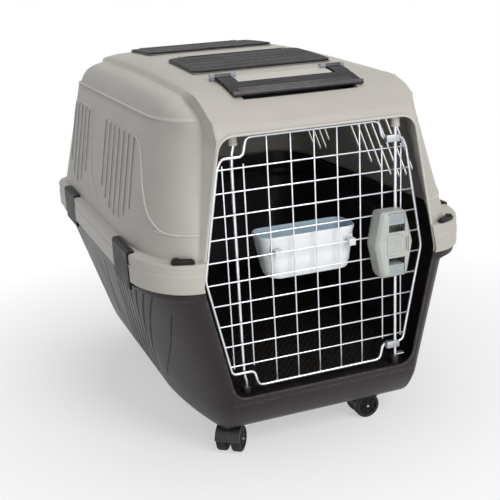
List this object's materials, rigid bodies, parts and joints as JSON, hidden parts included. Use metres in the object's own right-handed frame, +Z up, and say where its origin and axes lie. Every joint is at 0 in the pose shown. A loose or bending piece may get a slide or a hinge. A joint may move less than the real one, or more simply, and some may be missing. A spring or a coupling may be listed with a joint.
{
  "type": "wheeled pet travel crate",
  "caption": "Moulded pet travel crate with a dark tub, a light dome, a hinged wire door with squeeze bolts, a hook-on bowl, roof bins under lids, a carry handle and castors.",
  "frame": {"origin": "on the floor, under the middle of the crate", "axes": "+Z up, -Y towards the door, +X to the right as one faces the door"},
  "size_m": [0.611, 0.802, 0.6607],
  "materials": {
    "dome_plastic": "satin",
    "tub_plastic": "satin",
    "lid_plastic": "satin",
    "bin_plastic": "satin",
    "plated_steel": "bright zinc plate",
    "latch_plastic": "semi-gloss",
    "bowl_plastic": "semi-gloss",
    "castor_plastic": "satin",
    "wheel_rubber": "matte"
  },
  "bodies": {
    "crate": {"lower_shell": "tub_plastic", "upper_shell": "dome_plastic", "floor_tray": "tub_plastic", "front_bin": "bin_plastic", "rear_bin": "bin_plastic", "handle_pocket": "lid_plastic", "front_lid_pin": "plated_steel", "rear_lid_pin": "plated_steel", "left_handle_pin": "plated_steel", "right_handle_pin": "plated_steel", "hinge_bush": "tub_plastic", "bolt_bush": "tub_plastic", "front_left_mount": "castor_plastic", "front_right_mount": "castor_plastic", "rear_left_mount": "castor_plastic", "rear_right_mount": "castor_plastic"},
    "door": {"door_grille": "plated_steel", "hinge_rod": "plated_steel", "latch_front": "latch_plastic", "latch_back": "latch_plastic", "upper_guide": "plated_steel", "lower_guide": "plated_steel"},
    "upper_bolt": {"upper_rod": "plated_steel", "upper_slider": "latch_plastic"},
    "lower_bolt": {"lower_rod": "plated_steel", "lower_slider": "latch_plastic"},
    "bowl": {"feeder_bowl": "bowl_plastic"},
    "front_lid": {"front_lid": "lid_plastic"},
    "rear_lid": {"rear_lid": "lid_plastic"},
    "handle": {"carry_handle": "lid_plastic"},
    "front_left_clip": {"front_left_clip": "lid_plastic"},
    "front_right_clip": {"front_right_clip": "lid_plastic"},
    "rear_left_clip": {"rear_left_clip": "lid_plastic"},
    "rear_right_clip": {"rear_right_clip": "lid_plastic"},
    "front_left_lock": {"front_left_lock": "lid_plastic"},
    "front_right_lock": {"front_right_lock": "lid_plastic"},
    "rear_left_lock": {"rear_left_lock": "lid_plastic"},
    "rear_right_lock": {"rear_right_lock": "lid_plastic"},
    "front_left_fork": {"front_left_fork": "castor_plastic", "front_left_axle": "plated_steel"},
    "front_left_wheel_a": {"front_left_wheel_a": "wheel_rubber"},
    "front_left_wheel_b": {"front_left_wheel_b": "wheel_rubber"},
    "front_right_fork": {"front_right_fork": "castor_plastic", "front_right_axle": "plated_steel"},
    "front_right_wheel_a": {"front_right_wheel_a": "wheel_rubber"},
    "front_right_wheel_b": {"front_right_wheel_b": "wheel_rubber"},
    "rear_left_fork": {"rear_left_fork": "castor_plastic", "rear_left_axle": "plated_steel"},
    "rear_left_wheel_a": {"rear_left_wheel_a": "wheel_rubber"},
    "rear_left_wheel_b": {"rear_left_wheel_b": "wheel_rubber"},
    "rear_right_fork": {"rear_right_fork": "castor_plastic", "rear_right_axle": "plated_steel"},
    "rear_right_wheel_a": {"rear_right_wheel_a": "wheel_rubber"},
    "rear_right_wheel_b": {"rear_right_wheel_b": "wheel_rubber"}
  },
  "joints": [
    {"name": "door_hinge", "type": "hinge", "parent": "crate", "child": "door", "pos_m": [-0.137, -0.3633, 0.35], "axis": [0, 0, -1], "range_deg": [0, 115]},
    {"name": "upper_bolt_slide", "type": "slide", "parent": "door", "child": "upper_bolt", "axis": [0, 0, -1], "range_m": [0, 0.012], "stiffness_N_per_m": 200, "springref_m": -0.01},
    {"name": "lower_bolt_slide", "type": "slide", "parent": "door", "child": "lower_bolt", "axis": [0, 0, 1], "range_m": [0, 0.012], "stiffness_N_per_m": 200, "springref_m": -0.01},
    {"name": "bowl_lift", "type": "slide", "parent": "door", "child": "bowl", "axis": [0, 0, 1], "range_m": [0, 0.03]},
    {"name": "front_lid_hinge", "type": "hinge", "parent": "crate", "child": "front_lid", "pos_m": [0, -0.00865, 0.6564], "axis": [-1, 0, 0], "range_deg": [0, 105]},
    {"name": "rear_lid_hinge", "type": "hinge", "parent": "crate", "child": "rear_lid", "pos_m": [0, 0.27035, 0.6546], "axis": [-1, 0, 0], "range_deg": [0, 105]},
    {"name": "handle_hinge", "type": "hinge", "parent": "crate", "child": "handle", "pos_m": [0, -0.23, 0.6436], "axis": [-1, 0, 0], "range_deg": [0, 100]},
    {"name": "front_left_clip_hinge", "type": "hinge", "parent": "crate", "child": "front_left_clip", "pos_m": [-0.3029, -0.233, 0.319], "axis": [0, -1, 0], "range_deg": [0, 80]},
    {"name": "front_right_clip_hinge", "type": "hinge", "parent": "crate", "child": "front_right_clip", "pos_m": [0.3029, -0.233, 0.319], "axis": [0, 1, 0], "range_deg": [0, 80]},
    {"name": "rear_left_clip_hinge", "type": "hinge", "parent": "crate", "child": "rear_left_clip", "pos_m": [-0.3029, 0.212, 0.319], "axis": [0, -1, 0], "range_deg": [0, 80]},
    {"name": "rear_right_clip_hinge", "type": "hinge", "parent": "crate", "child": "rear_right_clip", "pos_m": [0.3029, 0.212, 0.319], "axis": [0, 1, 0], "range_deg": [0, 80]},
    {"name": "front_left_lock_turn", "type": "hinge", "parent": "crate", "child": "front_left_lock", "pos_m": [-0.248, -0.3785, 0.3843], "axis": [0, 0, -1], "range_deg": [0, 90]},
    {"name": "front_right_lock_turn", "type": "hinge", "parent": "crate", "child": "front_right_lock", "pos_m": [0.248, -0.3785, 0.3843], "axis": [0, 0, 1], "range_deg": [0, 90]},
    {"name": "rear_left_lock_turn", "type": "hinge", "parent": "crate", "child": "rear_left_lock", "pos_m": [-0.262, 0.3843, 0.3843], "axis": [0, 0, 1], "range_deg": [0, 90]},
    {"name": "rear_right_lock_turn", "type": "hinge", "parent": "crate", "child": "rear_right_lock", "pos_m": [0.262, 0.3843, 0.3843], "axis": [0, 0, -1], "range_deg": [0, 90]},
    {"name": "front_left_swivel", "type": "hinge", "parent": "crate", "child": "front_left_fork", "pos_m": [-0.142, -0.302, 0.05], "axis": [0, 0, 1], "continuous": true},
    {"name": "front_left_wheel_a_spin", "type": "hinge", "parent": "front_left_fork", "child": "front_left_wheel_a", "pos_m": [-0.15765, -0.32277, 0.024], "axis": [-0.7986, 0.6018, 0], "continuous": true},
    {"name": "front_left_wheel_b_spin", "type": "hinge", "parent": "front_left_fork", "child": "front_left_wheel_b", "pos_m": [-0.15765, -0.32277, 0.024], "axis": [-0.7986, 0.6018, 0], "continuous": true},
    {"name": "front_right_swivel", "type": "hinge", "parent": "crate", "child": "front_right_fork", "pos_m": [0.142, -0.302, 0.05], "axis": [0, 0, 1], "continuous": true},
    {"name": "front_right_wheel_a_spin", "type": "hinge", "parent": "front_right_fork", "child": "front_right_wheel_a", "pos_m": [0.116, -0.302, 0.024], "axis": [0, 1, 0], "continuous": true},
    {"name": "front_right_wheel_b_spin", "type": "hinge", "parent": "front_right_fork", "child": "front_right_wheel_b", "pos_m": [0.116, -0.302, 0.024], "axis": [0, 1, 0], "continuous": true},
    {"name": "rear_left_swivel", "type": "hinge", "parent": "crate", "child": "rear_left_fork", "pos_m": [-0.142, 0.25, 0.05], "axis": [0, 0, 1], "continuous": true},
    {"name": "rear_left_wheel_a_spin", "type": "hinge", "parent": "rear_left_fork", "child": "rear_left_wheel_a", "pos_m": [-0.15765, 0.22923, 0.024], "axis": [-0.7986, 0.6018, 0], "continuous": true},
    {"name": "rear_left_wheel_b_spin", "type": "hinge", "parent": "rear_left_fork", "child": "rear_left_wheel_b", "pos_m": [-0.15765, 0.22923, 0.024], "axis": [-0.7986, 0.6018, 0], "continuous": true},
    {"name": "rear_right_swivel", "type": "hinge", "parent": "crate", "child": "rear_right_fork", "pos_m": [0.142, 0.25, 0.05], "axis": [0, 0, 1], "continuous": true},
    {"name": "rear_right_wheel_a_spin", "type": "hinge", "parent": "rear_right_fork", "child": "rear_right_wheel_a", "pos_m": [0.116, 0.25, 0.024], "axis": [0, 1, 0], "continuous": true},
    {"name": "rear_right_wheel_b_spin", "type": "hinge", "parent": "rear_right_fork", "child": "rear_right_wheel_b", "pos_m": [0.116, 0.25, 0.024], "axis": [0, 1, 0], "continuous": true}
  ]
}
